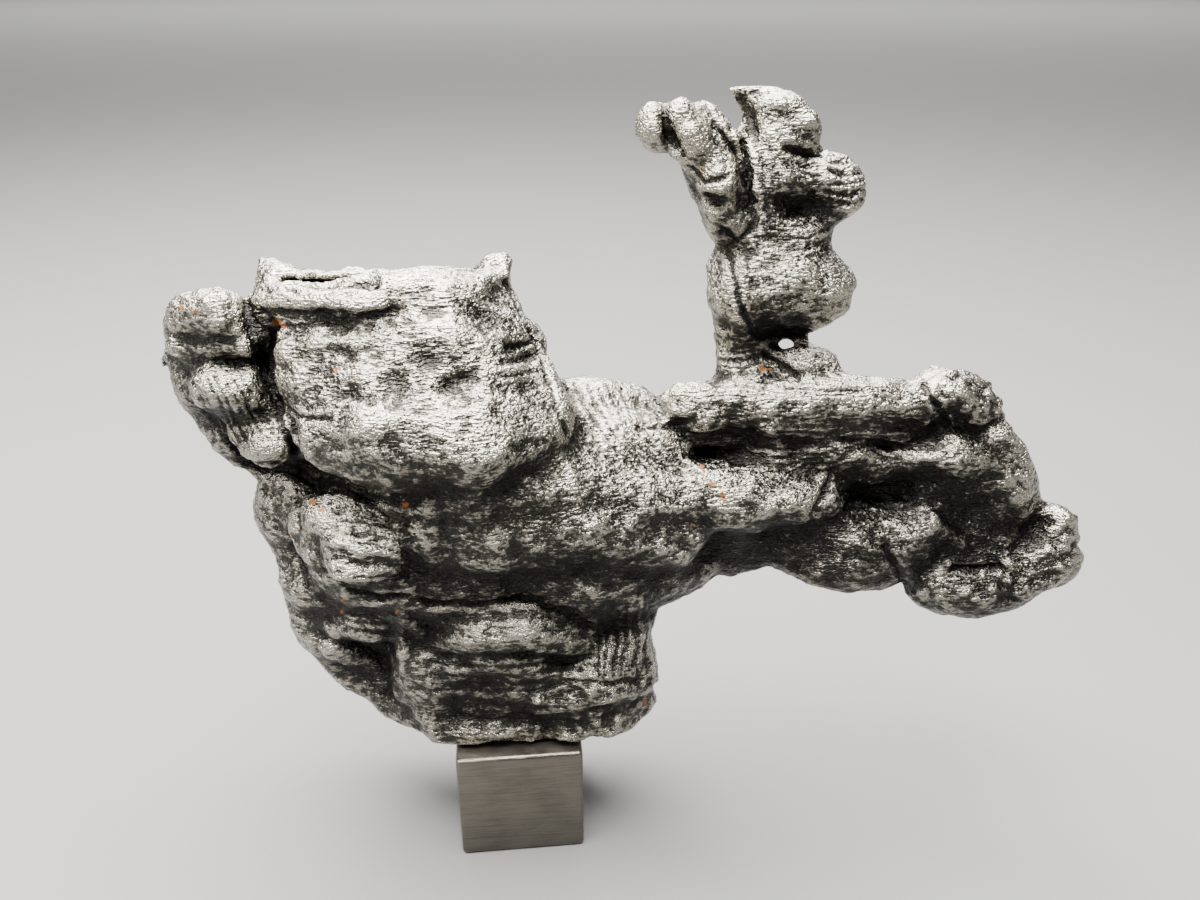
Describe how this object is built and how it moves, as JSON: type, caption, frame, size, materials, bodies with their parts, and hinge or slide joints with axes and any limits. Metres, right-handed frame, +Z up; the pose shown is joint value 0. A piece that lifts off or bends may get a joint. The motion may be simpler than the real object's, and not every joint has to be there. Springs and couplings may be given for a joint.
{
  "type": "iron meteorite end cut on a scale cube",
  "caption": "Natural iron meteorite, lumpy and furrowed with a branching arm, sawn flat at the back and standing on a small steel scale cube.",
  "frame": {"origin": "centre of the stand cube's underside", "axes": "+X along the stone's length towards the long arm, +Y out of the sawn face, away from the natural front, +Z up"},
  "size_m": [0.0691, 0.0154, 0.0589],
  "materials": {
    "meteorite_iron": "dark natural metal, finely furrowed, glinting on high spots, small rust specks",
    "cube_steel": "brushed, with light scratches"
  },
  "bodies": {
    "root": {"meteorite": "meteorite_iron", "stand_cube": "cube_steel"}
  },
  "joints": []
}
